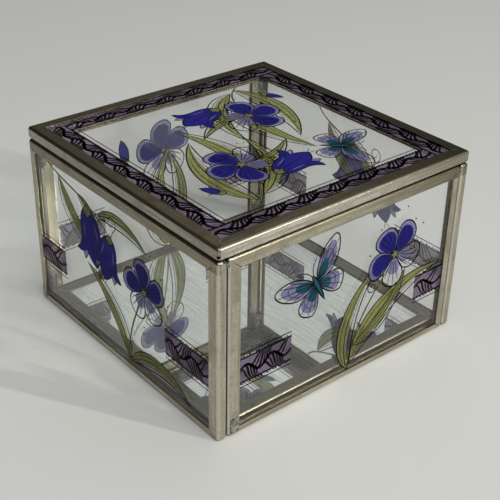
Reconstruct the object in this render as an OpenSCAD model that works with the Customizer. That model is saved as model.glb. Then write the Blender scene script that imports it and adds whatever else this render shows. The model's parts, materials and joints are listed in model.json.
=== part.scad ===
// Square glass keepsake box.
// Six glass panels, each edged with a folded sheet-metal channel, soldered at
// the corners: four walls, a mirrored floor and a lid on a tube-and-pin hinge.
// The front faces -Y, the hinge is at the back, and the box stands on z = 0.

/* [Box] */
// Width of the box over its side walls
box_width = 101.6; // [80:0.1:160]
// Depth of the box over its front and back walls, without the hinge
box_depth = 101.6; // [90:0.1:160]
// Height of the closed box
box_height = 66; // [45:0.5:110]

/* [Glass] */
// Thickness of the clear panes in the walls
glass_thick = 2.4; // [2:0.1:4]
// Thickness of the lid's clear pane
lid_glass = 3; // [2:0.1:4]
// Thickness of the floor's mirror glass
mirror_thick = 2.2; // [1.8:0.1:3.5]
// Thickness of the silver and its paint under the mirror
backing_thick = 0.2; // [0.1:0.05:0.4]
// Play between the faces of a pane and its channel
face_play = 0.05; // [0.03:0.01:0.1]
// Play between the edges of a pane and the rounding of the folds round it
edge_play = 0.05; // [0.05:0.05:0.15]

/* [Channels] */
// Thickness of the sheet metal
sheet = 0.45; // [0.3:0.05:0.6]
// Outer radius of the long folds
fold_radius = 1; // [0.8:0.05:1.1]
// Outer radius of the bends at a panel's corners
bend_radius = 1.15; // [1.15:0.05:2]
// Width of the slit where two flanges meet in a mitre
mitre_slit = 0.2; // [0.1:0.05:0.3]
// Radius of the relief hole left in the web at each bend
relief_radius = 0.55; // [0.3:0.05:0.6]
// Width of the lid's flanges
lid_flange = 4.4; // [3:0.1:7]
// Width of the floor's flanges
floor_flange = 4.2; // [3:0.1:7]
// Width of the wide upright flanges
wide_upright = 4.4; // [3:0.1:7]
// Width of the slim upright flanges
slim_upright = 3.1; // [2.5:0.1:5]
// Width of the flanges along the rim of the walls
rim_flange = 3.8; // [2.5:0.1:5]
// Width of the flanges along the foot of the walls
foot_flange = 2.3; // [2:0.1:4]

/* [Gaps] */
// Gap between the lid and the rim of the walls
lid_gap = 0.3; // [0.3:0.05:0.6]
// Gap between a side wall and the front or back wall
wall_gap = 0.25; // [0.1:0.05:0.4]
// Gap between the floor and the walls
floor_gap = 0.3; // [0.1:0.05:0.5]
// Height of the floor's underside above the feet of the walls
floor_lift = 0.2; // [0.1:0.1:3]

/* [Hinge] */
// Outer radius of the hinge tubes
tube_radius = 1.5; // [1.3:0.1:2]
// Radius of the hinge pin
pin_radius = 0.8; // [0.5:0.05:0.95]
// Radial clearance of the pin in the tubes
pin_clearance = 0.05; // [0.02:0.01:0.1]
// Distance from each side of the box to the end of its hinge tube
hinge_inset = 9.5; // [4:0.5:14]
// Length of each hinge tube on the back wall
wall_tube_length = 16; // [8:1:18]
// Gap between the ends of the hinge tubes
tube_gap = 0.3; // [0.2:0.05:0.6]
// Gap between a hinge tube and the face of the channels
tube_standoff = 0.1; // [0.05:0.05:0.4]
// Radius of the pin's peened heads
head_radius = 1.15; // [1.05:0.05:1.25]
// Height of the pin's peened heads
head_height = 0.6; // [0.4:0.1:1]

/* [Solder] */
// Leg of the solder fillets in the inner corners
tack_leg = 2.2; // [2.1:0.1:4]
// Height of each solder fillet in the inner corners
tack_height = 6; // [3:0.5:10]
// Thickness of a solder fillet at its edge
solder_toe = 0.15; // [0.1:0.05:0.3]
// Width of the solder patch over a closing seam, no wider than the flat below it
patch_width = 3.1; // [2.5:0.1:3.4]
// Height of the solder patch over a wall's closing seam
patch_height = 5; // [3:0.5:10]
// Thickness of the solder patches
patch_thick = 0.2; // [0.1:0.05:0.3]
// Radius of the corners of the solder patches
patch_round = 0.7; // [0.3:0.1:0.8]
// Width of the solder fillets that hold the hinge tubes
hinge_fillet = 1.1; // [0.8:0.1:1.3]

/* [Hidden] */

$fn = 48;

channel_tone = "#9a927d";
solder_tone = "#77776f";
glass_tone = [0.80, 0.88, 0.85, 0.35];
mirror_tone = "#b9c2be";
backing_tone = "#6d6f70";

// Thickness over the channels of the walls, the lid and the floor
panel_thick = glass_thick + 2 * face_play + 2 * sheet;
lid_thick = lid_glass + 2 * face_play + 2 * sheet;
floor_thick = mirror_thick + backing_thick + 2 * face_play + 2 * sheet;

// Distance from a panel's edge to its pane, whose square edges stay out of the folds
fold_inner = fold_radius - sheet;
pane_inset = sheet + fold_inner - sqrt(face_play * (2 * fold_inner - face_play)) + edge_play;

// Height of the walls under the lid, and length of the side walls between the others
wall_height = box_height - lid_thick - lid_gap;
side_length = box_depth - 2 * panel_thick - 2 * wall_gap;

// Panels as [width, height]
front_size = [box_width, wall_height];
side_size = [side_length, wall_height];
lid_size = [box_width, box_depth];
floor_inset = 2 * panel_thick + 2 * floor_gap;
floor_size = [box_width - floor_inset, box_depth - floor_inset];
floor_top = floor_lift + floor_thick;

// Flanges of each panel as [left, right, foot, rim], seen from outside
front_flanges = [slim_upright, wide_upright, foot_flange, rim_flange];
right_flanges = [wide_upright, slim_upright, foot_flange, rim_flange];
back_flanges = [wide_upright, wide_upright, foot_flange, rim_flange];
lid_flanges = [lid_flange, lid_flange, lid_flange, lid_flange];
floor_flanges = [floor_flange, floor_flange, floor_flange, floor_flange];

// Turn of each wall about the upright axis, from the front one
front_turn = 0;
right_turn = 90;
back_turn = 180;
left_turn = 270;

// Hinge axis behind the back wall, level with the middle of the lid's gap
axis_standoff = tube_radius + tube_standoff;
hinge_reach = axis_standoff + tube_radius;
axis_height = wall_height + lid_gap / 2;
hinge_length = box_width - 2 * hinge_inset;
wall_tube_centre = (hinge_length - wall_tube_length) / 2;
lid_tube_length = hinge_length - 2 * wall_tube_length - 2 * tube_gap;

// The walls stand forward of the origin, which is at the middle of the whole box
walls_y = (patch_thick - hinge_reach) / 2;

// Slits run past the flanges' inner edge, and past the corner at a closing seam
slit_overrun = 1;

// --- shapes shared by the panels ---

// Rectangle about the origin with round corners
module round_rectangle(size, radius) {
  square([size.x - 2 * radius, size.y], center = true);
  square([size.x, size.y - 2 * radius], center = true);
  for (x = [-1, 1], y = [-1, 1])
    translate([x * (size.x / 2 - radius), y * (size.y / 2 - radius)]) circle(radius);
}

// Flat-backed outline with two round corners, its back on the Y axis
module rounded_back(depth, height) {
  intersection() {
    union() {
      for (y = [-1, 1]) translate([0, y * (height / 2 - depth)]) circle(depth);
      translate([0, depth - height / 2]) square([depth, height - 2 * depth]);
    }
    translate([0, -height / 2]) square([depth, height]);
  }
}

// Section of the web and its two folds, with x outwards from the corner bends' centre
module edge_section(thick) {
  translate([bend_radius - fold_radius, -thick / 2])
    difference() {
      rounded_back(fold_radius, thick);
      rounded_back(fold_radius - sheet, thick - 2 * sheet);
    }
}

// Web and folds along the four edges of a panel and round its corners
module folded_edge(size, thick) {
  reach = [size.x / 2 - bend_radius, size.y / 2 - bend_radius];
  for (turn = [0, 180])
    rotate([0, 0, turn]) {
      translate([0, reach.y, 0]) edge_run(2 * reach.x, thick);
      rotate([0, 0, 90]) translate([0, reach.x, 0]) edge_run(2 * reach.y, thick);
      translate([reach.x, reach.y, 0]) rotate_extrude(angle = 90) edge_section(thick);
      translate([-reach.x, reach.y, 0])
        rotate([0, 0, 90]) rotate_extrude(angle = 90) edge_section(thick);
    }
}

module edge_run(length, thick) {
  rotate([90, 0, 90]) linear_extrude(length, center = true) edge_section(thick);
}

// Window that the flanges leave open
module window(size, flanges) {
  translate([flanges[0] - size.x / 2, flanges[2] - size.y / 2])
    square([size.x - flanges[0] - flanges[1], size.y - flanges[2] - flanges[3]]);
}

module flange_outline(size, flanges) {
  difference() {
    round_rectangle(size - 2 * [fold_radius, fold_radius], bend_radius - fold_radius);
    window(size, flanges);
  }
}

// Slit between two points of the flanges, run past both by the given lengths
module slit(from, to, past_to) {
  run = to - from;
  translate(from) rotate(atan2(run.y, run.x))
    translate([-slit_overrun, -mitre_slit / 2])
      square([norm(run) + slit_overrun + past_to, mitre_slit]);
}

// Mitre slits at the four corners; the strip's ends meet at the foot on the left
module mitre_slits(size, flanges) {
  for (x = [-1, 1], y = [-1, 1]) {
    side = x < 0 ? flanges[0] : flanges[1];
    end = y < 0 ? flanges[2] : flanges[3];
    inner = [x * (size.x / 2 - side), y * (size.y / 2 - end)];
    outer = [x * (size.x / 2 - fold_radius), y * (size.y / 2 - fold_radius)];
    slit(inner, outer, x < 0 && y < 0 ? 2 * bend_radius : 0);
  }
}

// Holes through the web at the four bends, where the notched flanges part
module relief_holes(size, thick) {
  for (x = [-1, 1], y = [-1, 1])
    translate([x * (size.x / 2 - bend_radius), y * (size.y / 2 - bend_radius),
               fold_radius + sheet - thick])
      rotate([0, 90, atan2(y, x)]) cylinder(h = 2 * bend_radius, r = relief_radius);
}

// Channel folded round a panel, its outer face on z = 0 and the panel below it
module channel(size, thick, flanges) {
  color(channel_tone)
    difference() {
      union() {
        folded_edge(size, thick);
        for (z = [-sheet, -thick])
          translate([0, 0, z]) linear_extrude(sheet) flange_outline(size, flanges);
      }
      translate([0, 0, -thick - 1]) linear_extrude(thick + 2) mitre_slits(size, flanges);
      relief_holes(size, thick);
    }
}

// Glass sheet held in a channel, its upper face the given depth below z = 0
module pane(size, thick, depth) {
  translate([0, 0, -depth - thick])
    linear_extrude(thick)
      round_rectangle(size - 2 * [pane_inset, pane_inset], bend_radius - pane_inset);
}

module clear_pane(size, thick) {
  color(glass_tone) pane(size, thick, sheet + face_play);
}

// --- places ---

// Puts a panel drawn on z = 0 upright as a wall, its foot on the ground
module as_wall(turn) {
  reach = turn % 180 == 0 ? box_depth / 2 : box_width / 2;
  translate([0, walls_y, wall_height / 2])
    rotate([0, 0, turn]) translate([0, -reach, 0]) rotate([90, 0, 0]) children();
}

module as_lid() {
  translate([0, walls_y, box_height]) children();
}

module as_floor() {
  translate([0, walls_y, floor_top]) children();
}

// Puts a section drawn about the hinge axis, x backwards and y up, along the hinge
module along_hinge(length, centre) {
  translate([centre, walls_y + box_depth / 2 + axis_standoff, axis_height])
    rotate([90, 0, 90]) linear_extrude(length, center = true) children();
}

// --- solder ---

// Fillet in the corner at the origin, hollow towards +X +Y
module fillet_section(leg) {
  difference() {
    square(leg);
    translate([leg + solder_toe, leg + solder_toe]) circle(leg);
  }
}

// Two fillets up an inner corner of the box, one on the floor and one under the rim
module corner_solder(x_side, y_side) {
  inner_x = box_width / 2 - panel_thick;
  inner_y = box_depth / 2 - panel_thick;
  color(solder_tone)
    for (z = [floor_top, wall_height - rim_flange - tack_height])
      translate([x_side * inner_x, walls_y + y_side * inner_y, z])
        mirror([x_side > 0 ? 1 : 0, 0, 0]) mirror([0, y_side > 0 ? 1 : 0, 0])
          linear_extrude(tack_height) fillet_section(tack_leg);
}

// Patch over the closing seam, on the flat of the upright flange at the left foot
module seam_solder(size, flanges) {
  width = min(patch_width, flanges[0] - fold_radius);
  color(solder_tone)
    translate([fold_radius + width / 2 - size.x / 2,
               fold_radius + patch_height / 2 - size.y / 2, 0])
      linear_extrude(patch_thick)
        round_rectangle([width, patch_height], min(patch_round, 0.4 * width));
}

// Patch over the lid's closing seam, on the left edge of the lid at its front corner
module lid_seam_solder() {
  flat = lid_thick - 2 * fold_radius;
  color(solder_tone)
    translate([-box_width / 2, walls_y + bend_radius + patch_width / 2 - box_depth / 2,
               box_height - lid_thick / 2])
      rotate([0, -90, 0]) linear_extrude(patch_thick)
        round_rectangle([flat, patch_width], min(patch_round, 0.4 * flat));
}

// Section of the solder between a tube and the web below it
module hinge_fillet_section() {
  foot = fold_radius + 2 * hinge_fillet;
  difference() {
    translate([-axis_standoff, -foot]) square([hinge_fillet, foot - lid_gap]);
    circle(tube_radius);
    translate([hinge_fillet + solder_toe - axis_standoff, -foot - solder_toe])
      circle(hinge_fillet);
  }
}

module wall_hinge_solder() {
  color(solder_tone)
    for (side = [-1, 1])
      along_hinge(wall_tube_length - 2 * tube_gap, side * wall_tube_centre)
        hinge_fillet_section();
}

module lid_hinge_solder() {
  color(solder_tone)
    along_hinge(lid_tube_length - 2 * tube_gap, 0) mirror([0, 1]) hinge_fillet_section();
}

// --- hinge ---

module hinge_tube(length, centre) {
  color(channel_tone)
    along_hinge(length, centre)
      difference() {
        circle(tube_radius);
        circle(pin_radius + pin_clearance);
      }
}

// Pin with a peened head at each end
module hinge_pin() {
  reach = hinge_length / 2 + pin_clearance;
  color(channel_tone)
    translate([0, walls_y + box_depth / 2 + axis_standoff, axis_height])
      for (side = [-1, 1])
        rotate([0, side * 90, 0]) {
          cylinder(h = reach, r = pin_radius);
          translate([0, 0, reach]) peened_head();
        }
}

module peened_head() {
  rotate_extrude()
    intersection() {
      union() {
        square([head_radius - head_height, head_height]);
        translate([head_radius - head_height, 0]) circle(head_height);
      }
      square([head_radius, head_height]);
    }
}

// --- floor ---

module floor_mirror() {
  color(mirror_tone) as_floor() pane(floor_size, mirror_thick, sheet + face_play);
}

module mirror_backing() {
  color(backing_tone)
    as_floor() pane(floor_size, backing_thick, sheet + face_play + mirror_thick);
}

as_wall(front_turn) clear_pane(front_size, glass_thick);  // front_pane
as_wall(right_turn) clear_pane(side_size, glass_thick);  // right_pane
as_wall(back_turn) clear_pane(front_size, glass_thick);  // back_pane
as_wall(left_turn) clear_pane(side_size, glass_thick);  // left_pane
as_wall(front_turn) channel(front_size, panel_thick, front_flanges);  // front_channel
as_wall(right_turn) channel(side_size, panel_thick, right_flanges);  // right_channel
as_wall(back_turn) channel(front_size, panel_thick, back_flanges);  // back_channel
as_wall(left_turn) channel(side_size, panel_thick, back_flanges);  // left_channel
floor_mirror();
mirror_backing();
as_floor() channel(floor_size, floor_thick, floor_flanges);  // floor_channel
corner_solder(-1, -1);  // corner_solder_front_left
corner_solder(1, -1);  // corner_solder_front_right
corner_solder(-1, 1);  // corner_solder_back_left
corner_solder(1, 1);  // corner_solder_back_right
as_wall(front_turn) seam_solder(front_size, front_flanges);  // front_seam_solder
as_wall(right_turn) seam_solder(side_size, right_flanges);  // right_seam_solder
as_wall(back_turn) seam_solder(front_size, back_flanges);  // back_seam_solder
as_wall(left_turn) seam_solder(side_size, back_flanges);  // left_seam_solder
hinge_tube(wall_tube_length, -wall_tube_centre);  // hinge_tube_left
hinge_tube(wall_tube_length, wall_tube_centre);  // hinge_tube_right
hinge_pin();
wall_hinge_solder();
as_lid() clear_pane(lid_size, lid_glass);  // lid_pane
as_lid() channel(lid_size, lid_thick, lid_flanges);  // lid_channel
lid_seam_solder();
hinge_tube(lid_tube_length, 0);  // hinge_tube_lid
lid_hinge_solder();
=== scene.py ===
"""Looks of the square glass keepsake box: metals, glass, mirror and printed enamels."""
import json
import random
from cmath import exp as cexp
from math import copysign, cos, pi, radians, sin, sqrt

import bpy
from mathutils import Matrix, Vector
from mathutils.geometry import tessellate_polygon


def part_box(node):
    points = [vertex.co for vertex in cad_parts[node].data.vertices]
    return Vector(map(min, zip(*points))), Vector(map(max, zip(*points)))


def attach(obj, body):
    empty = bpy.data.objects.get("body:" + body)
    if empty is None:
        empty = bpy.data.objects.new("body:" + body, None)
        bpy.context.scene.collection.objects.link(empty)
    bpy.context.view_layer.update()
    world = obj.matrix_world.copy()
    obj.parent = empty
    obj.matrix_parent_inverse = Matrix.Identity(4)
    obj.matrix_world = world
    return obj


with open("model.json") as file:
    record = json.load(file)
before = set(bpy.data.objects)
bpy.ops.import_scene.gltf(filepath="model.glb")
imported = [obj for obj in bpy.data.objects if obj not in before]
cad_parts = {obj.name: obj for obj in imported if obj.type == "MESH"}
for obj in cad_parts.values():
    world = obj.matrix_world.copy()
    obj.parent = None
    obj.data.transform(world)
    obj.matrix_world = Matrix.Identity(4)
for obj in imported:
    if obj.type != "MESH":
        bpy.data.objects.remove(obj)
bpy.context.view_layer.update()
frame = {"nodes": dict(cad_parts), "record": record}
nodes = frame["nodes"]
MM = 0.001

# ---------------------------------------------------------------- colours and nodes

MIX_A, MIX_B, MIX_COLOUR = 6, 7, 2         # the colour sockets of a Mix node
VECTOR_A, VECTOR_B, MIX_VECTOR = 4, 5, 1   # its vector sockets


def linear(hex_colour):
    """sRGB hex to the linear colour that Blender takes."""
    parts = [int(hex_colour[i:i + 2], 16) / 255 for i in (1, 3, 5)]
    return [c / 12.92 if c <= 0.04045 else ((c + 0.055) / 1.055) ** 2.4 for c in parts] + [1.0]


def add(tree, kind, settings=None, links=None):
    """Adds a node with its properties or socket values, and the sources of its inputs."""
    node = tree.nodes.new(kind)
    for key, value in (settings or {}).items():
        if isinstance(key, str) and hasattr(node, key):
            setattr(node, key, value)
        else:
            node.inputs[key].default_value = value
    for key, source in (links or {}).items():
        tree.links.new(source, node.inputs[key])
    return node


def maths(tree, operation, *terms):
    """The result of a Math node, whose terms are numbers or outputs."""
    numbers = {i: term for i, term in enumerate(terms) if isinstance(term, (int, float))}
    outputs = {i: term for i, term in enumerate(terms) if i not in numbers}
    return add(tree, "ShaderNodeMath", {"operation": operation, **numbers}, outputs).outputs[0]


def ranged(tree, value, low, high, start=0.0, end=1.0):
    """A value mapped from low..high to start..end and held at both ends."""
    ends = {"From Min": low, "From Max": high, "To Min": start, "To Max": end}
    return add(tree, "ShaderNodeMapRange", ends, {"Value": value}).outputs["Result"]


def noise(tree, place, size_mm, detail, roughness=0.5):
    """Fractal noise whose largest features are about this size."""
    settings = {"Scale": 1 / (size_mm * MM), "Detail": detail, "Roughness": roughness}
    return add(tree, "ShaderNodeTexNoise", settings, {"Vector": place}).outputs["Fac"]


def mixed(tree, share, one, other, blend="MIX"):
    """Two colours, each a hex or an output, mixed by an output's share."""
    settings, links = {"data_type": "RGBA", "blend_type": blend}, {"Factor": share}
    for key, colour in ((MIX_A, one), (MIX_B, other)):
        if isinstance(colour, str):
            settings[key] = linear(colour)
        else:
            links[key] = colour
    return add(tree, "ShaderNodeMix", settings, links).outputs[MIX_COLOUR]


def object_place(tree):
    """Coordinates fixed to the object, in metres."""
    return add(tree, "ShaderNodeTexCoord").outputs["Object"]


def new_material(name):
    """An empty material with its output, ready for nodes."""
    material = bpy.data.materials.new(name)
    material.use_nodes = True
    tree = material.node_tree
    tree.nodes.clear()
    return material, tree, add(tree, "ShaderNodeOutputMaterial")


def finish_with(tree, output, shader):
    """Joins a shader to the material's output."""
    tree.links.new(shader.outputs[0], output.inputs["Surface"])


def blend_shaders(tree, share, one, other):
    """Two shaders mixed by a share, which is a number or an output."""
    links = {1: one.outputs[0], 2: other.outputs[0]}
    if isinstance(share, float):
        return add(tree, "ShaderNodeMixShader", {"Fac": share}, links)
    return add(tree, "ShaderNodeMixShader", {}, {"Fac": share, **links})


# ---------------------------------------------------------------- panels

PANELS = {  # the body, and the ways right and up as seen from outside
    "front": ("box", Vector((1, 0, 0)), Vector((0, 0, 1))),
    "right": ("box", Vector((0, 1, 0)), Vector((0, 0, 1))),
    "back": ("box", Vector((-1, 0, 0)), Vector((0, 0, 1))),
    "left": ("box", Vector((0, -1, 0)), Vector((0, 0, 1))),
    "lid": ("lid", Vector((1, 0, 0)), Vector((0, 1, 0))),
}
FLANGES = {  # widths at the left, right, foot and rim, as seen from outside, mm
    "front": (3.1, 4.4, 2.3, 3.8), "right": (4.4, 3.1, 2.3, 3.8),
    "back": (4.4, 4.4, 2.3, 3.8), "left": (4.4, 4.4, 2.3, 3.8), "lid": (4.4,) * 4,
}
MARGIN = 0.12  # the prints stop just short of the flanges, mm


def box_mm(node):
    """The low and the high corner of a node's box, to a thousandth of a millimetre."""
    return [[round(place / MM, 3) for place in corner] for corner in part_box(node)]


def half_size(panel):
    """Half the width and half the height of a panel, mm."""
    low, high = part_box(f"{panel}_channel")
    return [abs((high - low).dot(way)) / MM / 2 for way in PANELS[panel][1:]]


def opening(panel):
    """Left, right, foot and rim of the open glass of a panel, from its middle, mm."""
    half_wide, half_tall = half_size(panel)
    left, right, foot, rim = FLANGES[panel]
    return (left + MARGIN - half_wide, half_wide - right - MARGIN,
            foot + MARGIN - half_tall, half_tall - rim - MARGIN)


# ---------------------------------------------------------------- metals

# Places that age, or that are painted with shade or highlight, in their own way. Heights are
# above the table and reaches are from the middle of the walls, in mm.
front_low, front_high = box_mm("front_channel")
lid_low, lid_high = box_mm("lid_channel")
pane_low, pane_high = box_mm("right_pane")
lid_pane_low, lid_pane_high = box_mm("lid_pane")
back_high = box_mm("back_channel")[1]
floor_high = box_mm("floor_channel")[1]

X, Y, Z = range(3)
PAST, CLEAR = 1, 0.1              # well outside the box, just clear of a strip's edge
SHEET = 0.5                       # thickness of a strip with the play beside it
PLAY, SLOT = 0.05, 0.03           # past the panes: free play, and what counts as slot
FACE = 1.05                       # depth of a front face with its rounded folds
SHADE_IN = 4.1                     # the floor channel's sides painted with shade reach in this far
SHADE_DOWN = 0.4                   # and end this far below its top
MIDDLE_Y = (front_low[Y] + back_high[Y]) / 2
WALLS = (-PAST, (front_high[Z] + lid_low[Z]) / 2)
RIMS = (front_high[Z] - FLANGES["front"][3] - CLEAR, lid_high[Z] + PAST)
UPRIGHTS = (floor_high[Z] + 3 * CLEAR, RIMS[0])             # only upright strips lie between
FRONT_FACES = (front_low[Y] - PAST, front_low[Y] + FACE)
TO_HINGE = (0, 45)                # y over which the rims grow darker
INNER_REACH = 40                  # faces that look inwards from farther out are the walls'
WALL_SLOT = (pane_low[X] - SLOT, pane_high[X] + SLOT)
WALL_SLOT_HEIGHTS = (SHEET, front_high[Z] - SHEET)
LID_SLOT_HEIGHTS = (lid_pane_low[Z] - SLOT, lid_pane_high[Z] + SLOT)
FLOOR_SIDE = (floor_high[X] - SHADE_IN, pane_low[X] - PLAY)  # floor channel and walls' feet
FLOOR_HEIGHTS = (-PAST, floor_high[Z] - SHADE_DOWN)

TOP_SHADE_NORMAL = (0.75, 0.98)             # upright part of the normal on faces painted darker olive, as shade for the dark room they reflect
SLANTING = (0.12, 0.4)            # product of its level parts on the uprights' folds, where a highlight is painted
ROLL_MM, ROLL_DRAWN = 0.9, 0.03   # spacing of the rolls' lines, squeeze along the strip
PIT_DEPTH = 0.03
SOLDER_LUMP_MM, SOLDER_LUMP_HEIGHT = 1.1, 0.15


class Spot:
    """Outputs that tell where a point of the box lies and which way its face looks."""

    def __init__(self, tree):
        place = add(tree, "ShaderNodeTexCoord").outputs
        self.place, self.normal = place["Object"], place["Normal"]
        at = add(tree, "ShaderNodeSeparateXYZ", {}, {"Vector": self.place}).outputs
        self.y, self.height = at["Y"], at["Z"]
        self.width = maths(tree, "ABSOLUTE", at["X"])
        self.depth = maths(tree, "ABSOLUTE", maths(tree, "SUBTRACT", at["Y"], MIDDLE_Y * MM))
        self.facing = add(tree, "ShaderNodeSeparateXYZ", {}, {"Vector": self.normal}).outputs


def both_of(tree, one, other):
    """The product of two masks."""
    return maths(tree, "MULTIPLY", one, other)


def between(tree, value, low, high):
    """One where a value lies between two lengths in mm, and zero elsewhere."""
    return both_of(tree, maths(tree, "GREATER_THAN", value, low * MM),
                   maths(tree, "LESS_THAN", value, high * MM))


def rolled_way(tree, spot):
    """Object coordinates squeezed along the strip, so that a texture draws out into the
    lines that the rolls left. Uprights run up; the other strips part at the mitres."""
    upright = between(tree, spot.height, *UPRIGHTS)
    sideways = maths(tree, "GREATER_THAN", spot.width, spot.depth)
    level = add(tree, "ShaderNodeMix",
                {"data_type": "VECTOR", VECTOR_A: (ROLL_DRAWN, 1, 1), VECTOR_B: (1, ROLL_DRAWN, 1)},
                {"Factor": sideways})
    run = add(tree, "ShaderNodeMix", {"data_type": "VECTOR", VECTOR_B: (1, 1, ROLL_DRAWN)},
              {"Factor": upright, VECTOR_A: level.outputs[MIX_VECTOR]})
    return add(tree, "ShaderNodeVectorMath", {"operation": "MULTIPLY"},
               {0: spot.place, 1: run.outputs[MIX_VECTOR]}).outputs[0]


def aged_with_painted_light(tree, spot, colour):
    """Tints by place: upward faces are painted darker olive as shade, the walls are duller than
    the lid, the front rims and the floor channel's sides carry painted shade, all rims darken
    towards the hinge, the slots carry painted shade and old flux, and the uprights' folds carry a
    painted highlight."""
    reach = maths(tree, "MAXIMUM", spot.width, spot.depth)
    # painted shade: faces that look up are darker olive, standing for the dark room they reflect
    top_shade = ranged(tree, spot.facing["Z"], *TOP_SHADE_NORMAL)
    # the rims are darker towards the back, where the hinge is
    aback = ranged(tree, spot.y, *(y * MM for y in TO_HINGE))
    rims = between(tree, spot.height, *RIMS)
    walls = between(tree, spot.height, *WALLS)
    # painted shade, with old flux: faces inside the slots of the walls' and the lid's channels are
    # darker
    shaded_wall_slots = both_of(tree, between(tree, spot.height, *WALL_SLOT_HEIGHTS),
                       between(tree, reach, *WALL_SLOT))
    shaded_lid_slot = both_of(tree, between(tree, spot.height, *LID_SLOT_HEIGHTS),
                     between(tree, reach, 0, WALL_SLOT[1]))
    # painted shade: the floor channel's sides and the walls' feet, low between the walls and the
    # floor, are darker
    shaded_floor_side = both_of(tree, between(tree, spot.height, *FLOOR_HEIGHTS),
                       between(tree, reach, *FLOOR_SIDE))
    # painted shade: the rims' front faces, on the side away from the lamps, are darker
    front = both_of(tree, rims, between(tree, spot.y, *FRONT_FACES))
    for mask, tint in ((top_shade, "#928c78"), (walls, "#e1ddd3"), (front, "#cbc8c1"),
                       (both_of(tree, rims, aback), "#c2beb4"), (shaded_wall_slots, "#5c5547"),
                       (shaded_floor_side, "#4a4433"), (shaded_lid_slot, "#5c5547")):
        colour = mixed(tree, mask, colour, tint, "MULTIPLY")
    # painted highlight: the rounded folds of the uprights, where the normal slants, are lighter
    slanting = maths(tree, "MULTIPLY", spot.facing["X"], spot.facing["Y"])
    fold_highlight = ranged(tree, maths(tree, "ABSOLUTE", slanting), *SLANTING, 0.0, 0.4)
    return mixed(tree, both_of(tree, fold_highlight, walls), colour, "#f6f2e9")


def inward(tree, spot):
    """One on the walls' faces that look into the box."""
    toward = add(tree, "ShaderNodeVectorMath", {"operation": "DOT_PRODUCT"},
                 {0: spot.place, 1: spot.normal}).outputs["Value"]
    return maths(tree, "LESS_THAN", toward, -INNER_REACH * MM)


def rolled_channel(name, clean, tarnished, rough, pit_mm, cloud_mm):
    """Tinned brass strip, cold rolled and handled for years: a soft grey-gold sheen with
    the lines of the rolls, broken by pinhead pits and by cloudy patches where the tin has
    dulled. Faces that look into the box are smoother, as no fingers reach them."""
    material, tree, output = new_material(name)
    spot = Spot(tree)
    clouds = noise(tree, spot.place, cloud_mm, 5.0, 0.6)
    pits = noise(tree, spot.place, pit_mm, 3.0, 0.7)
    lines = noise(tree, rolled_way(tree, spot), ROLL_MM, 3.0, 0.6)
    cloudy = ranged(tree, clouds, 0.42, 0.62, 0.0, 0.5)
    lined = ranged(tree, lines, 0.4, 0.66, 0.0, 0.6)
    pitted = ranged(tree, pits, 0.54, 0.64, 0.0, 0.9)
    dull = maths(tree, "MAXIMUM", maths(tree, "MAXIMUM", cloudy, pitted), lined)
    colour = aged_with_painted_light(tree, spot, mixed(tree, dull, clean, tarnished))
    handled = ranged(tree, inward(tree, spot), 0.0, 1.0, 1.0, 0.5)
    roughness = ranged(tree, dull, 0.0, 1.0, rough - 0.04, rough + 0.16)
    dents = maths(tree, "MULTIPLY_ADD", lined, 0.35, pitted)
    bump = add(tree, "ShaderNodeBump", {"Distance": PIT_DEPTH * MM, "invert": True},
               {"Strength": maths(tree, "MULTIPLY", handled, 0.4), "Height": dents})
    metal = add(tree, "ShaderNodeBsdfPrincipled", {"Metallic": 1.0},
                {"Base Color": colour, "Roughness": maths(tree, "MULTIPLY", roughness, handled),
                 "Normal": bump.outputs["Normal"]})
    finish_with(tree, output, metal)
    return material


def cooled_solder():
    """Tin-lead solder as it froze: dull blue-grey skin, lumpy, with a few bright facets."""
    material, tree, output = new_material("cooled_solder")
    lumps = noise(tree, object_place(tree), SOLDER_LUMP_MM, 4.0)
    colour = mixed(tree, ranged(tree, lumps, 0.4, 0.64), "#70706c", "#b9b8b1")
    bump = add(tree, "ShaderNodeBump", {"Strength": 0.6, "Distance": SOLDER_LUMP_HEIGHT * MM},
               {"Height": lumps})
    metal = add(tree, "ShaderNodeBsdfPrincipled", {"Metallic": 1.0, "Roughness": 0.42},
                {"Base Color": colour, "Normal": bump.outputs["Normal"]})
    finish_with(tree, output, metal)
    return material


def blackened_flux():
    """Painted shade for the open part of a mitre, where the slit lies in shadow: a dull brown-black.
    """
    material, tree, output = new_material("blackened_flux")
    flux = add(tree, "ShaderNodeBsdfPrincipled",
               {"Base Color": linear("#1c1813"), "Roughness": 0.8, "Specular IOR Level": 0.2})
    finish_with(tree, output, flux)
    return material


# ---------------------------------------------------------------- glass and mirror


def float_glass():
    """Clear float glass, fire polished: nearly without colour, with lamps passing through."""
    material, tree, output = new_material("float_glass")
    glass = add(tree, "ShaderNodeBsdfPrincipled",
                {"Base Color": linear("#feffff"), "Roughness": 0.0, "IOR": 1.52,
                 "Transmission Weight": 1.0})
    clear = add(tree, "ShaderNodeBsdfTransparent", {"Color": linear("#fcfefd")})
    path = add(tree, "ShaderNodeLightPath")
    finish_with(tree, output, blend_shaders(tree, path.outputs["Is Shadow Ray"], glass, clear))
    return material


SCRATCH_MM, SCRATCH_SQUEEZE = 9, 30   # length of the mirror's scratches, length over width


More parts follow.
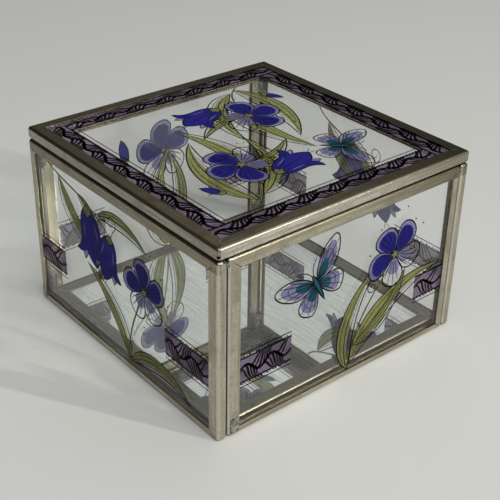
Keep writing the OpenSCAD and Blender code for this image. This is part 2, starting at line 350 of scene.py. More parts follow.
def silvered_mirror():
    """Mirror glass with hairline scratches from what was slid over it, side to side."""
    material, tree, output = new_material("silvered_mirror")
    drawn_out = add(tree, "ShaderNodeMapping", {"Scale": (1, SCRATCH_SQUEEZE, 1)},
                    {"Vector": object_place(tree)})
    hairlines = noise(tree, drawn_out.outputs["Vector"], SCRATCH_MM, 4.0)
    colour = mixed(tree, ranged(tree, hairlines, 0.46, 0.64, 0.0, 0.3), "#e1e4df", "#8f928d")
    mirror = add(tree, "ShaderNodeBsdfPrincipled", {"Metallic": 1.0},
                 {"Base Color": colour, "Roughness": ranged(tree, hairlines, 0.6, 0.7, 0.01, 0.14)})
    finish_with(tree, output, mirror)
    return material


def mirror_paint():
    """Grey backing paint, rolled on: flat, a little uneven."""
    material, tree, output = new_material("mirror_paint")
    colour = mixed(tree, noise(tree, object_place(tree), 2.5, 3.0), "#7b7e7e", "#8d9090")
    paint = add(tree, "ShaderNodeBsdfPrincipled", {"Roughness": 0.7}, {"Base Color": colour})
    finish_with(tree, output, paint)
    return material


# ---------------------------------------------------------------- enamels


def fired_enamel(name, thin, thick, cover):
    """Screen-printed glass enamel: satin, streaked where the colour ran thin. What it does
    not cover lets light through in its own colour. Light passes both faces of the skin, so
    each face has the root of the tint."""
    material, tree, output = new_material(name)
    colour = mixed(tree, noise(tree, object_place(tree), 3, 4.0), thin, thick)
    enamel = add(tree, "ShaderNodeBsdfPrincipled",
                 {"Roughness": 0.36, "Specular IOR Level": 0.05}, {"Base Color": colour})
    if cover < 1:
        tint = [sqrt(share) for share in linear(thin)]
        through = add(tree, "ShaderNodeBsdfTransparent", {"Color": tint})
        enamel = blend_shaders(tree, cover, through, enamel)
    finish_with(tree, output, enamel)
    return material


finishes = {
    "clear_glass": float_glass(),
    "mirror_glass": silvered_mirror(),
    "mirror_backing": mirror_paint(),
    "channel_metal": rolled_channel("tinned_channel", "#e2ded3", "#878273", 0.29, 0.45, 7),
    "hinge_wire": rolled_channel("drawn_brass_wire", "#c2b898", "#8d8268", 0.3, 0.4, 4),
    "solder": cooled_solder(),
    "blackened_flux": blackened_flux(),
    "black_enamel": fired_enamel("black_enamel", "#050406", "#020203", 1.0),
    "violet_enamel": fired_enamel("violet_enamel", "#3b38a6", "#272584", 0.52),
    "lavender_enamel": fired_enamel("lavender_enamel", "#aaa7cc", "#8c89b8", 0.36),
    "mauve_enamel": fired_enamel("mauve_enamel", "#a393ab", "#85768d", 0.32),
    "olive_enamel": fired_enamel("olive_enamel", "#b4b67f", "#8d905c", 0.38),
    "teal_enamel": fired_enamel("teal_enamel", "#3b788c", "#215466", 0.6),
}

for part in frame["record"]["subparts"]:
    node = nodes[part["node"]]
    node.data.materials.clear()
    node.data.materials.append(finishes[part["material_slot"]])

def new_piece(name, verts, faces, body, ink):
    """A piece that rides with a body and has the finish of its enamel, its solder or the painted
    shade in a mitre.
    """
    mesh = bpy.data.meshes.new(name)
    mesh.from_pydata(verts, [], faces)
    mesh.materials.append(finishes[ink])
    piece = bpy.data.objects.new(name, mesh)
    bpy.context.scene.collection.objects.link(piece)
    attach(piece, body)
    return mesh


# ---------------------------------------------------------------- printing on the panes
# A print is drawn flat in millimetres about the middle of its pane, as seen from outside.
# Points are complex numbers: the real part runs right and the imaginary part up.

COAT = 0.0016           # thickness of one coat of enamel, mm
COAT_STEP = 0.005       # rise from one coat to the next, mm
FIRST_COAT = 0.02       # the lowest coat above the glass, mm
LINE_PROUD = 0.0012     # how far a line shows past the colour on either side, mm
LINE = 0.48             # width of the outlines, mm
THIN_LINE = 0.8 * LINE
HAIR = 0.3              # width of veins and fine border lines, mm
TINY = 1e-6             # points closer than this are the same, mm


def face_place(node, right, up):
    """Matrix from a print's millimetres to the face of a node that has these ways."""
    low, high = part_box(node)
    out = right.cross(up)
    reach = sum(abs(out[i]) * (high[i] - low[i]) / 2 for i in range(3))
    turn = Matrix((right, up, out)).transposed().to_4x4()
    return Matrix.Translation((low + high) / 2 + out * reach) @ turn @ Matrix.Scale(MM, 4)


def curve(a, b, c, d, steps):
    """Points of a cubic curve from a to d, without d."""
    found = []
    for i in range(steps):
        t = i / steps
        s = 1 - t
        found.append(a * s ** 3 + 3 * b * s * s * t + 3 * c * s * t * t + d * t ** 3)
    return found


def path(*corners, steps):
    """Joined cubic curves through every third point, each in so many steps."""
    found = []
    for i in range(0, len(corners) - 3, 3):
        found += curve(*corners[i:i + 4], steps=steps)
    return found + [corners[-1]]


def placed(points, at, turn, size=1.0, flip=False):
    """Points mirrored, sized, turned by degrees and moved."""
    spin = size * cexp(1j * radians(turn))
    return [at + spin * (p.conjugate() if flip else p) for p in points]


class Print:
    """What is laid on one face of a panel, one mesh for each colour. A facing of -1 is the
    face that looks into the box."""

    def __init__(self, name, node, panel, facing=1):
        self.name = name
        self.body, right, up = PANELS[panel]
        self.place = face_place(node, facing * right, up)
        self.coat = 0
        self.meshes = {}

    def _solid(self, ink, points, triangles, proud=0.0):
        """A closed skin in the present coat, and proud of it by so much on both sides."""
        verts, faces = self.meshes.setdefault(ink, ([], []))
        start, count = len(verts), len(points)
        floor = FIRST_COAT + self.coat * COAT_STEP
        for level in (floor - proud, floor + COAT + proud):
            verts.extend(self.place @ Vector((p.real, p.imag, level)) for p in points)
        for a, b, c in triangles:
            faces.append((start + count + a, start + count + b, start + count + c))
            faces.append((start + c, start + b, start + a))
        for a in range(count):
            b = (a + 1) % count
            faces.append((start + a, start + b, start + count + b, start + count + a))

    def area(self, ink, outline):
        """A filled shape inside a closed outline."""
        points = outline[:-1] if abs(outline[0] - outline[-1]) < TINY else outline
        turned = sum((a.conjugate() * b).imag for a, b in zip(points, points[1:] + points[:1]))
        if turned < 0:
            points = points[::-1]
        flat = [Vector((p.real, p.imag, 0)) for p in points]
        triangles = []
        for a, b, c in tessellate_polygon([flat]):
            across = (points[b] - points[a]).conjugate() * (points[c] - points[a])
            triangles.append((a, b, c) if across.imag > 0 else (a, c, b))
        self._solid(ink, points, triangles)

    def line(self, points, width=LINE, ends=(0.25, 0.25), ink="black_enamel"):
        """A drawn line. Its ends have the given shares of its width, and it shows on both
        sides of what is filled in the same coat."""
        along = [0.0]
        for a, b in zip(points, points[1:]):
            along.append(along[-1] + abs(b - a))
        left, right = [], []
        for i, p in enumerate(points):
            way = points[min(i + 1, len(points) - 1)] - points[max(i - 1, 0)]
            way = way / max(abs(way), TINY)
            t = min(along[i] / max(along[-1], TINY), 1)
            swell = sin(pi * t) ** 0.5
            tip = ends[0] * (1 - t) + ends[1] * t
            half = width / 2 * (tip + (1 - tip) * swell)
            left.append(p + 1j * way * half)
            right.append(p - 1j * way * half)
        ring = right + left[::-1]
        triangles = []
        for a in range(len(points) - 1):
            b, c, d = a + 1, len(ring) - 2 - a, len(ring) - 1 - a
            triangles += [(a, b, c), (a, c, d)]
        self._solid(ink, ring, triangles, LINE_PROUD)

    def shape(self, ink, outline, width=LINE):
        """A filled shape with its outline, or the outline alone where the ink is None. The
        next shape lies over it."""
        if ink:
            self.area(ink, outline)
        closed = outline if abs(outline[0] - outline[-1]) < TINY else outline + outline[:1]
        self.line(closed, width, ends=(0.8, 0.8))
        self.coat += 1

    def fire(self):
        """Turns what was drawn into pieces."""
        for ink, (verts, faces) in sorted(self.meshes.items()):
            new_piece(f"{self.name}_{ink}", verts, faces, self.body, ink)


# --- motifs, each drawn about its own root ---


LEAF_WIDTH = 0.13   # of a leaf's length, to where the curves of its edges are drawn


def leaf(sheet, at, turn, length, bend):
    """A slender leaf, curving as it grows: one half tinted, the other mostly left clear."""
    def edge(share):
        side = curve(0, complex(0.2, share * LEAF_WIDTH) * length,
                     complex(0.6, 0.9 * share * LEAF_WIDTH) * length, length + 0j, 16)
        points = side + [length + 0j]
        return placed([p * cexp(1j * bend * p.real / length) for p in points], at, turn)

    sheet.area("olive_enamel", edge(1) + edge(-0.35)[-2::-1])
    sheet.line(edge(1) + edge(-1)[-2::-1], LINE, ends=(0.8, 0.8))
    sheet.line(edge(0)[1:-1], THIN_LINE, ends=(0.9, 0.2))
    for share in (0.55, -0.55):
        sheet.line(edge(share)[2:-3], HAIR, ends=(0.5, 0.1))
    sheet.coat += 1


def pollen(sheet, at, reach, count, seed):
    """Fine dots strewn round a point."""
    strewn = random.Random(seed)
    for _ in range(count):
        dot = at + reach * strewn.uniform(0.45, 1) * cexp(2j * pi * strewn.random())
        sheet.line([dot, dot + 0.55 * cexp(2j * pi * strewn.random())], 0.55, ends=(1, 1))


BELL_SIDE = (0, 3.4 + 0j, 5.2 - 4j, 5.6 - 8j, 6 - 11.6j, 7.2 - 13.6j, 10.4 - 15.2j)


def bell(sheet, at, turn, size):
    """A hanging bellflower seen from the side: five flared lobes, a shine on either side, a
    leafy cap and two stamens."""
    def put(points):
        return placed(points, at, turn, size)

    for way in (1, -1):
        lobe = path(way * 2 - 13j, way * 3.6 - 16j, way * 5 - 18j, way * 6.4 - 18.6j,
                    way * 7 - 16.5j, way * 7 - 14j, way * 6 - 12j, steps=6)
        sheet.area("lavender_enamel", put(lobe))
        sheet.line(put(lobe), THIN_LINE)
    sheet.coat += 1
    right = path(*BELL_SIDE, steps=8)
    lip = path(10.4 - 15.2j, 8 - 16.6j, 5.6 - 16j, 4.4 - 14.8j,
               3.8 - 17.4j, 1.8 - 19.6j, -20.6j, steps=7)
    half = right + lip[1:]
    outline = half + [complex(-p.real, p.imag) for p in half[-2::-1]]
    sheet.shape("violet_enamel", put(outline))
    for way in (-1, 0, 1):
        rib = path(way * 1.2 - 2.5j, way * 2.4 - 7j, way * 3 - 11j, way * 6.6 - 14.6j, steps=9)
        sheet.line(put(rib if way else [complex(0, -3 - 1.9 * i) for i in range(9)]), HAIR)
    for way in (-1, 1):
        shine = path(way * 3 - 4.5j, way * 3.8 - 7j, way * 3.9 - 9j, way * 4.5 - 11.5j,
                     way * 3.2 - 9j, way * 2.9 - 7j, way * 3 - 4.5j, steps=5)
        sheet.coat += 1
        sheet.area("lavender_enamel", put(shine))
    sheet.coat += 1
    cap = path(-2.6 - 2.8j, -2.2 - 1j, -1.4 + 0.8j, 0.9j, 1.4 + 0.8j, 2.2 - 1j, 2.6 - 2.8j,
               1.8 - 1.8j, 1.2 - 2j, -3.6j, -1.2 - 2j, -1.8 - 1.8j, -2.6 - 2.8j, steps=4)
    sheet.shape("olive_enamel", put(cap), THIN_LINE)
    for way in (-0.8, 0.9):
        sheet.line(put(path(way * 0.6 - 20j, way * 0.9 - 21.5j, way * 1.2 - 22.5j,
                            way * 2 - 23.3j, steps=5)), HAIR)


PETALS, DARK_PETALS = 5, 3


def blossom(sheet, at, turn, size):
    """An open periwinkle: slanted petals, three of them deep violet inside a pale margin and
    the others left clear but for their throats. The violet lies under the margin's colour as
    well, so that it shows from behind."""
    petal = path(0.6 + 0j, 3 + 2.4j, 5 + 6.8j, 9.4 + 7.6j, 12.6 + 7.4j, 14.2 + 4.4j, 13.6 + 0.8j,
                 13.2 - 2.6j, 9.8 - 4.2j, 7 - 3.6j, 4 - 2.6j, 2.2 - 0.8j, 0.6 + 0j, steps=6)
    throat = path(0.8 + 0j, 2.8 + 1.8j, 5 + 5.6j, 8.8 + 6.2j, 11.4 + 5.8j, 12.4 + 3j, 11.8 + 0.4j,
                  11 - 2.2j, 8.6 - 3j, 6.4 - 2.6j, 4 - 1.9j, 2.4 - 0.6j, 0.8 + 0j, steps=6)
    for i in range(PETALS):
        spin = turn + 360 / PETALS * i
        if i < DARK_PETALS:
            sheet.area("violet_enamel", placed(throat, at, spin, size))
            sheet.coat += 1
            sheet.shape("lavender_enamel", placed(petal, at, spin, size))
            sheet.area("violet_enamel", placed(throat, at, spin, size))
        else:
            sheet.shape(None, placed(petal, at, spin, size))
            sheet.area("lavender_enamel", placed(throat, at, spin, 0.72 * size))
        for reach, lean in ((12.2, 27), (13, 15), (12.8, 2), (10.6, -12)):
            tip = reach * cexp(1j * radians(lean))
            vein = curve(0.25 * tip, 0.5 * tip - 0.5j, 0.75 * tip - 0.3j, tip, 6)
            sheet.line(placed(vein + [tip], at, spin, size), HAIR, ends=(0.9, 0.3))
        sheet.coat += 1
    eye = [2.1 * size * cexp(2j * pi * i / 15) * (1 if i % 3 else 0.55) + at for i in range(15)]
    sheet.shape("olive_enamel", eye, THIN_LINE)


def bud(sheet, at, turn, size):
    """A closed bud on its cap."""
    body = path(0, 2.6 + 1j, 2.4 + 6j, 9j, -2.4 + 6j, -2.6 + 1j, 0, steps=7)
    sheet.shape("violet_enamel", placed(body, at, turn, size), LINE * 0.85)
    cap = path(-1.6 + 2.6j, -1.8 + 0.6j, -1 - 0.6j, -0.6j, 1 - 0.6j, 1.8 + 0.6j, 1.6 + 2.6j,
               0.8 + 1.4j, -0.8 + 1.4j, -1.6 + 2.6j, steps=4)
    sheet.shape("olive_enamel", placed(cap, at, turn, size), THIN_LINE)


def tendril(sheet, at, turn, size, flip=False):
    """A curl that winds in on itself."""
    run = [complex(0.4 * i, 0.05 * i * i) for i in range(8)]
    centre = run[-1] + 3.2j
    curl = [centre + 3.2 * (1 - 0.8 * i / 26) * cexp(1j * (-pi / 2 + 0.32 * i))
            for i in range(1, 27)]
    sheet.line(placed(run + curl, at, turn, size, flip), HAIR * 1.2, ends=(0.8, 0.4))


def stem(sheet, *corners):
    """A woody stem: a bold olive line that thins to its tip, under a hairline."""
    sheet.line(path(*corners, steps=14), 0.75, ends=(0.9, 0.25), ink="olive_enamel")
    sheet.coat += 1
    sheet.line(path(*corners, steps=14), HAIR)


def butterfly(sheet, at, turn, size):
    """A butterfly from above: teal body and wing roots, lavender wings with clear margins,
    veins and feelers."""
    fore = path(0.4 + 2j, 2 + 7j, 8 + 14j, 15 + 13.4j, 18 + 13j, 16 + 7j, 11 + 3j,
                7.4 + 0.4j, 3 + 0.6j, 0.4 + 2j, steps=8)
    hind = path(0.4 + 1j, 4 + 1.2j, 9 + 1j, 11 - 2j, 12.4 - 5j, 10 - 8j, 7.4 - 9.4j,
                4 - 9j, 1.4 - 5j, 0.4 + 1j, steps=8)
    tips = {0.5 + 2j: (9.6 + 12.4j, 13.4 + 13j, 15.8 + 10.4j, 14 + 6.4j, 11 + 3.6j),
            0.5 + 0.6j: (10.2 - 1j, 10.8 - 4.6j, 8.8 - 7.8j, 5.4 - 8j)}
    for mirror in (1, -1):
        def put(points):
            return placed([complex(p.real * mirror, p.imag) for p in points], at, turn, size)

        for wing, root in ((hind, 0.5 + 0.6j), (fore, 0.5 + 2j)):
            sheet.area("lavender_enamel", put([0.86 * (p - root) + root for p in wing]))
            sheet.coat += 1
            sheet.area("teal_enamel", put([0.5 * (p - root) + root for p in wing]))
            sheet.shape(None, put(wing))
            for tip in tips[root]:
                vein = curve(root, root + 0.4 * (tip - root), root + 0.7 * (tip - root), tip, 6)
                sheet.line(put(vein + [tip]), HAIR, ends=(0.9, 0.7))
            for a, b in zip(tips[root], tips[root][1:]):
                ends = [root + 0.72 * (p - root) for p in (a, b)]
                sheet.line(put([ends[0], (ends[0] + ends[1]) / 2 * 1.04, ends[1]]), HAIR)
            sheet.coat += 1
        sheet.line(put(path(0.3 + 5.4j, 0.8 + 8j, 2 + 10j, 4.6 + 11.4j, steps=7)), HAIR, (1, 1))
    body = path(5.8j, 1.3 + 5j, 1.3 - 2j, -8j, -1.3 - 2j, -1.3 + 5j, 5.8j, steps=8)
    sheet.shape("teal_enamel", placed(body, at, turn, size))
    for level in (-4.6, -3, -1.4, 3.6):
        sheet.line(placed([complex(-0.8, level), complex(0.8, level)], at, turn, size), HAIR)


# --- bands ---

BAND, BAND_STROKE = 8.4, 0.8      # height of the bands on the walls, width of their strokes
BAND_LEVEL = -9.0                 # height of their middle, from the middle of the panes
LID_BAND, LID_STROKE = 6.0, 0.95  # width of the lid's border band and of its strokes
WAVE = 13.0                       # length of one wave of the scroll
LEAVES, BARBS = 6, 9              # leaves in each hollow, and barbs on each edge of a wave
FILLET = 1.7                      # distance of the hairlines from the bands
DOT, DOT_GAP, DOT_PITCH = 0.5, 0.75, 2.4   # size of the dots, distance to band and next dot


def scroll_band(sheet, start, end, height, thick):
    """A running vine on a mauve ground: a bold waving stem, a fan of leaves that sweep from
    it to the edge in every hollow, and barbs along both edges."""
    run = end - start
    length, way = abs(run), run / abs(run)
    half = height / 2
    count = max(1, round(length / WAVE))
    pitch = length / count

    def put(points):
        return [start + way * p for p in points]

    def on_stem(turns):
        return complex(pitch * turns, 0.2 * height * sin(2 * pi * turns))

    sheet.area("mauve_enamel", put([complex(0, -half), complex(length, -half),
                                    complex(length, half), complex(0, half)]))
    sheet.line(put([on_stem(i / 16) for i in range(16 * count + 1)]), 1.2 * thick, ends=(1, 1))
    for side, first in ((1, 0.42), (-1, -0.08)):
        sheet.line(put([complex(0, side * half), complex(length, side * half)]),
                   0.7 * thick, ends=(1, 1))
        for k in range(LEAVES * count):
            hollow, place = divmod(k, LEAVES)
            turns = first + hollow + 0.75 / LEAVES * place
            reach = 0.4 - 0.2 / LEAVES * place
            if turns < 0 or turns + reach > count:
                continue
            foot = on_stem(turns)
            tip = complex(pitch * (turns + reach), side * 0.46 * height)
            lean = 0.22 * pitch
            rib = curve(foot, foot + lean, tip - lean - 0.06j * side * height, tip, 8)
            sheet.line(put(rib + [tip]), (1.1 - 0.3 * (k % 2)) * thick, ends=(0.5, 0.1))
        for k in range(BARBS * count):
            foot = complex(pitch * (k + 0.4) / BARBS, side * half)
            tip = foot + complex(0.05 * pitch, side * (0.07 + 0.04 * (k % 3 == 0)) * height)
            sheet.line(put([foot, tip]), thick, ends=(1.0, 0.3))
    sheet.coat += 1


def fine_line(sheet, *corners):
    """A hairline border through the given corners."""
    for a, b in zip(corners, corners[1:]):
        sheet.line([a, b], 1.2 * HAIR, ends=(1, 1))


def wall_bands(sheet, left_run, right_run):
    """A piece of scroll band at each end of a wall, with a hairline and a row of dots above
    and below it."""
    left, right, _, _ = opening(sheet.name)
    for start, end in ((left, left + left_run), (right - right_run, right)):
        scroll_band(sheet, complex(start, BAND_LEVEL), complex(end, BAND_LEVEL), BAND, BAND_STROKE)
        for side in (1, -1):
            level = BAND_LEVEL + side * (BAND / 2 + FILLET)
            fine_line(sheet, complex(start, level), complex(end, level))
            row = BAND_LEVEL + side * (BAND / 2 + DOT_GAP)
            for k in range(int((end - start) / DOT_PITCH)):
                dot = complex(start + (k + 0.5) * DOT_PITCH, row)
                sheet.line([dot, dot + DOT], DOT, ends=(1, 1))
        sheet.coat += 1


# --- the five prints: places from the middle of the pane in mm, turns in degrees ---


def pane_print(panel):
    return Print(panel, f"{panel}_pane", panel)


def front_print():
    """Front wall: a spray of bells hanging from the rim at the left, a blossom at the right."""
    sheet = pane_print("front")
    _, _, foot, rim = opening("front")
    wall_bands(sheet, 15, 22)
    stem(sheet, complex(-40, rim), -30 + 22j, -18 + 24j, -4 + 14j)
    leaf(sheet, -33 + 24j, -72, 36, 0.6)
    leaf(sheet, -22 + 22j, -24, 30, -0.8)
    bell(sheet, -17 + 19j, 12, 1.0)
    bell(sheet, -4 + 14j, -14, 0.85)
    leaf(sheet, -10 + 19j, 24, 26, -0.5)
    tendril(sheet, -4 + 14j, 15, 0.9)
    stem(sheet, complex(4, foot), 4 - 18j, 8 - 8j, 14 + 2j)
    leaf(sheet, complex(5, foot + 2), 104, 34, 0.5)
    leaf(sheet, complex(5, foot + 1), 42, 32, -0.7)
    blossom(sheet, 14 + 3j, 12, 0.78)
    pollen(sheet, 14 + 3j, 16, 14, 5)
    sheet.fire()


def right_print():
    """Right wall: a butterfly over a climbing spray."""
    sheet = pane_print("right")
    _, _, foot, _ = opening("right")
    wall_bands(sheet, 20, 13)
    stem(sheet, complex(2, foot), 2 - 16j, 10 - 4j, 20 + 6j)
    leaf(sheet, complex(2, foot), 112, 38, -0.7)
    leaf(sheet, complex(3, foot + 2), 66, 46, -0.6)
    leaf(sheet, 4 - 20j, 10, 30, 0.6)
    blossom(sheet, 20 + 8j, 40, 0.84)
    butterfly(sheet, -13 + 9j, 28, 0.84)
    tendril(sheet, 15 + 2j, 150, 0.8)
    pollen(sheet, 20 + 8j, 16.5, 12, 8)
    sheet.fire()


def back_print():
    """Back wall: two hanging bells and leaves, near the middle."""
    sheet = pane_print("back")
    _, _, _, rim = opening("back")
    wall_bands(sheet, 24, 24)
    stem(sheet, complex(18, rim), 14 + 20j, 2 + 20j, -10 + 12j)
    leaf(sheet, 12 + 22j, -112, 38, -0.6)
    leaf(sheet, 4 + 20j, 196, 30, 0.6)
    bell(sheet, 18j, -6, 1.0)
    bell(sheet, -11 + 12j, -24, 0.85)
    tendril(sheet, -10 + 12j, 170, 0.9, True)
    sheet.fire()


def left_print():
    """Left wall: a blossom and a bud on one climbing stem."""
    sheet = pane_print("left")
    _, _, foot, _ = opening("left")
    wall_bands(sheet, 20, 20)
    stem(sheet, complex(-4, foot), -6 - 12j, -2j, -2 + 8j)
    leaf(sheet, complex(-4, foot), 52, 40, 0.7)
    leaf(sheet, complex(-4, foot + 2), 124, 36, -0.6)
    blossom(sheet, -2 + 10j, 0, 0.84)
    stem(sheet, -2 - 4j, 6, 12 + 4j, 14 + 10j)
    bud(sheet, 14 + 10j, -12, 1.0)
    sheet.fire()


def lid_print():
    """Lid: a scroll border, two like sprays that grow from opposite corners, a butterfly."""
    sheet = pane_print("lid")
    left, right, foot, _ = opening("lid")
    middle = foot + LID_BAND / 2
    for quarter in range(4):
        way = cexp(1j * pi / 2 * quarter)
        scroll_band(sheet, way * complex(left, middle), way * complex(right - LID_BAND, middle),
                    LID_BAND, LID_STROKE)
    inner = right - LID_BAND - FILLET
    fine_line(sheet, *[inner * c for c in (1 + 1j, -1 + 1j, -1 - 1j, 1 - 1j, 1 + 1j)])
    sheet.coat += 1
    for spin in (0, 180):
        def put(p):
            return p * cexp(1j * radians(spin))

        stem(sheet, *[put(p) for p in (-37 + 26j, -30 + 14j, -18 + 16j, -8 + 8j)])
        leaf(sheet, put(-35 + 23j), spin + 20, 44, -0.5)
        leaf(sheet, put(-33 + 20j), spin - 70, 40, 0.7)
        leaf(sheet, put(-28 + 16j), spin - 30, 46, 0.5)
        leaf(sheet, put(-16 + 14j), spin - 100, 26, 0.5)
        blossom(sheet, put(-14 + 13j), spin + 8, 0.9)
        tendril(sheet, put(-8 + 9j), spin + 10, 1.0)
        bell(sheet, put(-25 + 8j), spin + 16, 0.88)
        bud(sheet, put(-26 + 29j), spin - 60, 0.9)
        pollen(sheet, put(-14 + 13j), 17, 16, 3 + spin)
    butterfly(sheet, 22 + 20j, -38, 0.78)
    sheet.fire()


front_print()
right_print()
back_print()
left_print()
lid_print()

# ---------------------------------------------------------------- solder and painted shade in the mitres

FOLD = 1.0            # outer radius of the channels' long folds, mm
MITRE = 0.2           # width of the slit where two flanges meet, mm
MITRE_LEVEL = -0.04   # the solder in it lies this far below the face, mm
DARK_ON_WALLS, DARK_ON_LID = (0.45, 1.0), (0.0, 0.55)   # the share of a mitre that stayed open


def mitre_solder(panel, dark_from, dark_to):
    """Solder that closes the mitres on both faces of a panel. A share of each mitre, counted
    from the panel's edge, has stayed open, and a dull brown-black strip of painted shade lies in it."""
    half_wide, half_tall = half_size(panel)
    left, right, foot, rim = FLANGES[panel]
    for face, facing in (("outer", 1), ("inner", -1)):
        sheet = Print(f"{panel}_{face}_mitres", f"{panel}_channel", panel, facing)
        sheet.coat = (MITRE_LEVEL - FIRST_COAT) / COAT_STEP
        for x, side in ((-facing, left), (facing, right)):
            for y, end in ((-1, foot), (1, rim)):
                outer = complex(x * (half_wide - FOLD), y * (half_tall - FOLD))
                inner = complex(x * (half_wide - side), y * (half_tall - end))
                shares = (0, dark_from, dark_to, 1)
                for i, ink in enumerate(("solder", "blackened_flux", "solder")):
                    if shares[i + 1] > shares[i]:
                        ends = [outer + (inner - outer) * share for share in shares[i:i + 2]]
                        sheet.line(ends, MITRE, ends=(1, 1), ink=ink)
        sheet.fire()


for panel in PANELS:
    mitre_solder(panel, *(DARK_ON_LID if panel == "lid" else DARK_ON_WALLS))

# ---------------------------------------------------------------- drops and runs of solder

BEND = 1.15                      # outer radius of the bends at a panel's corners, mm
PLUG_RADIUS, PLUG_BULGE = 0.54, 0.2   # of the solder in the relief holes, mm
PLUG_DEPTH = 0.22                # its middle lies this far inside the bend, mm
CORNER_RUN = (0.75, 1.2, 0.2)    # half width, half height and rise of a run, mm
CORNER_SINK, CORNER_DROP = 0.04, 1.5   # its middle is behind the face and below the rim, mm
SEAM_RUN, SEAM_SQUARENESS = (1.85, 3.2, 0.18), 0.6
DROP_RINGS, DROP_SPOKES = 10, 16
LUMPS = (0.07, 0.05)             # broad and fine swellings, as shares of the radius


def solder_drop(name, body, middle, axes, squareness=1.0):
    """A frozen drop of solder: a slightly lumpy egg with the given half axes. A squareness
    below one fills out its corners."""
    if axes[0].cross(axes[1]).dot(axes[2]) < 0:
        axes = (axes[1], axes[0], axes[2])
    middle = Vector(middle)
    verts = [middle + axes[2]]
    for i in range(1, DROP_RINGS):
        polar = pi * i / DROP_RINGS
        for k in range(DROP_SPOKES):
            spin = 2 * pi * k / DROP_SPOKES
            lump = 1 + LUMPS[0] * sin(2 * spin + 3 * polar) + LUMPS[1] * sin(5 * spin)
            girth = lump / (1 + sum(LUMPS)) * sin(polar)
            wide = copysign(abs(cos(spin)) ** squareness, cos(spin))
            tall = copysign(abs(sin(spin)) ** squareness, sin(spin))
            verts.append(middle + cos(polar) * axes[2] + girth * (wide * axes[0] + tall * axes[1]))
    verts.append(middle - axes[2])
    last = len(verts) - 1
    faces = []
    for k in range(DROP_SPOKES):
        after = (k + 1) % DROP_SPOKES
        faces.append((0, 1 + k, 1 + after))
        for i in range(DROP_RINGS - 2):
            near = 1 + i * DROP_SPOKES
            far = near + DROP_SPOKES
            faces.append((near + k, far + k, far + after, near + after))
        faces.append((last, last - DROP_SPOKES + after, last - DROP_SPOKES + k))
    mesh = new_piece(name, [v * MM for v in verts], faces, body, "solder")
    mesh.polygons.foreach_set("use_smooth", [True] * len(faces))


def plug_bends(panel):
    """Solder that has run into the four relief holes of a panel."""
    body, right, up = PANELS[panel]
    low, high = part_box(f"{panel}_channel")
    half_wide, half_tall = half_size(panel)
    for x in (-1, 1):
        for y in (-1, 1):
            outward = (x * right + y * up).normalized()
            middle = (low + high) / 2 / MM + x * (half_wide - BEND) * right
            middle = middle + y * (half_tall - BEND) * up + (BEND - PLUG_DEPTH) * outward
            axes = (PLUG_RADIUS * right.cross(up), PLUG_RADIUS * (y * up - x * right).normalized(),
                    PLUG_BULGE * outward)
            place = f"{'upper' if y > 0 else 'lower'}_{'right' if x > 0 else 'left'}"
            solder_drop(f"{panel}_{place}_plug", body, middle, axes)


def side_run(name, side, middle, half_axes, squareness=1.0):
    """A flat run of solder on a side wall; the side is 1 for right and -1 for left."""
    half_width, half_height, rise = half_axes
    axes = (Vector((0, half_width, 0)), Vector((0, 0, half_height)), Vector((rise * side, 0, 0)))
    solder_drop(name, "box", middle, axes, squareness)


def solder_runs(panel, side):
    """Solder that bridges the gap between two walls at each upper corner, and that has
    spread round the patch over the closing seam."""
    low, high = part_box(f"{panel}_channel")
    face = (high.x if side > 0 else low.x) / MM
    for name, y in (("front", low.y), ("back", high.y)):
        middle = (face - CORNER_SINK * side, y / MM, high.z / MM - CORNER_DROP)
        side_run(f"{panel}_{name}_corner_run", side, middle, CORNER_RUN)
    low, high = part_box(f"{panel}_seam_solder")
    middle = (face, (low.y + high.y) / 2 / MM, (low.z + high.z) / 2 / MM)
    side_run(f"{panel}_seam_run", side, middle, SEAM_RUN, SEAM_SQUARENESS)


for panel in PANELS:
    plug_bends(panel)
solder_runs("right", 1)
solder_runs("left", -1)

# ---------------------------------------------------------------- table, room and lamps

TABLE_REACH = 6.0             # metres, past every view
LEFT = (-0.643, -0.766, 0.0)  # level direction across the main view
CEILING_EDGE = (0.46, 0.52)   # heights over which the walls turn to ceiling, all as sines
DARK_SIDE = (0.22, 0.38)      # where the dark side begins, along LEFT
LOFTY = (0.72, 0.86)          # heights over which the dark side ends
SKIRTING = (0.1, 0.2)         # heights over which the dark foot of the room ends
LAMP_AIM = 0.03               # height that the lamps are turned to, metres


def table_top():
    """Smooth pale card."""
    mesh = bpy.data.meshes.new("table_top")
    corners = [(x * TABLE_REACH, y * TABLE_REACH, 0) for x, y in ((-1, -1), (1, -1), (1, 1), (-1, 1))]
    mesh.from_pydata(corners, [], [(0, 1, 2, 3)])
    table = bpy.data.objects.new("table_top", mesh)
    bpy.context.scene.collection.objects.link(table)
    material, tree, output = new_material("pale_card")
    card = add(tree, "ShaderNodeBsdfPrincipled",
               {"Base Color": linear("#dddedc"), "Roughness": 0.55, "Specular IOR Level": 0.3})
    finish_with(tree, output, card)
    mesh.materials.append(material)


def soft_lamp(name, towards, distance, size, watts, colour):
    """A softbox of the given width and height that faces the box from a direction."""
    lamp = bpy.data.lights.new(name, "AREA")
    lamp.shape = "RECTANGLE"
    lamp.size, lamp.size_y = size
    lamp.energy = watts
    lamp.color = linear(colour)[:3]
    stand = bpy.data.objects.new(name, lamp)
    away = Vector(towards).normalized()
    stand.location = away * distance + Vector((0, 0, LAMP_AIM))
    stand.rotation_euler = away.to_track_quat("Z", "Y").to_euler()
    bpy.context.scene.collection.objects.link(stand)


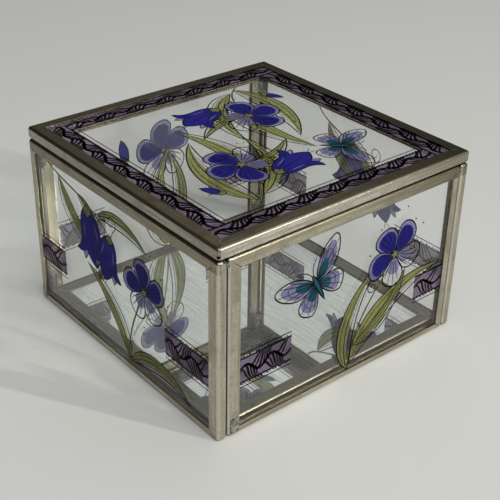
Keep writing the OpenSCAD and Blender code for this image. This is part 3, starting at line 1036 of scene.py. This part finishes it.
def room():
    """A room with a pale ceiling over greyer walls. The ceiling starts higher up to the left,
    at the far side and to the right. The left side and the foot of the room are dark."""
    world = bpy.data.worlds.new("room")
    bpy.context.scene.world = world
    world.use_nodes = True
    tree = world.node_tree
    tree.nodes.clear()
    way = add(tree, "ShaderNodeTexCoord").outputs["Generated"]
    at = add(tree, "ShaderNodeSeparateXYZ", {}, {"Vector": way}).outputs
    left = add(tree, "ShaderNodeVectorMath", {"operation": "DOT_PRODUCT", 1: LEFT},
               {0: way}).outputs["Value"]
    height = at["Z"]
    for share, start, drop in ((left, 0.14, 1.6), (at["Y"], 0.635, 4.0), (at["X"], 0.0, 0.2)):
        past = maths(tree, "MAXIMUM", maths(tree, "SUBTRACT", share, start), 0.0)
        height = maths(tree, "MULTIPLY_ADD", past, -drop, height)
    tone = mixed(tree, ranged(tree, height, *CEILING_EDGE), "#5f5e5b", "#cfd0cf")
    dark_side = maths(tree, "SUBTRACT", ranged(tree, left, *DARK_SIDE),
                      ranged(tree, at["Z"], *LOFTY))
    skirting = ranged(tree, at["Z"], *SKIRTING, 1.0, 0.0)
    tone = mixed(tree, maths(tree, "MAXIMUM", dark_side, skirting), tone, "#2e2d2a")
    light = add(tree, "ShaderNodeBackground", {"Strength": 1.0}, {"Color": tone})
    finish_with(tree, add(tree, "ShaderNodeOutputWorld"), light)


table_top()
room()
soft_lamp("window_light", (0.787, 0.402, 0.468), 1.3, (0.022, 0.2), 5, "#fff8e2")
soft_lamp("ceiling_light", (0.57, -0.16, 0.8), 1.6, (1.2, 1.2), 12.5, "#fdfeff")

# ---------------------------------------------------------------- camera

EYE = (239.82, -200.35, 207.12)        # mm
GAZE = (-0.6599, 0.55524, -0.5062)
TILT = 1.089                           # degrees by which the camera leans to the left
LENS, SENSOR = 76.08, 36               # mm


def set_camera():
    """The viewing angle from the front right corner, a little above."""
    forward = Vector(GAZE).normalized()
    right = forward.cross(Vector((0, 0, 1))).normalized()
    up = right.cross(forward)
    across = cos(radians(TILT)) * right + sin(radians(TILT)) * up
    upright = cos(radians(TILT)) * up - sin(radians(TILT)) * right
    lens = bpy.data.cameras.new("view")
    lens.lens, lens.sensor_width = LENS, SENSOR
    lens.clip_start, lens.clip_end = 0.01, 20
    camera = bpy.data.objects.new("view", lens)
    turn = Matrix((across, upright, -forward)).transposed().to_4x4()
    camera.matrix_world = Matrix.Translation(Vector(EYE) * MM) @ turn
    bpy.context.scene.collection.objects.link(camera)
    bpy.context.scene.camera = camera


set_camera()
scene = bpy.context.scene
scene.view_settings.view_transform = "Standard"
scene.cycles.max_bounces = 20
scene.cycles.transmission_bounces = 16
scene.cycles.glossy_bounces = 8
scene.cycles.transparent_max_bounces = 24
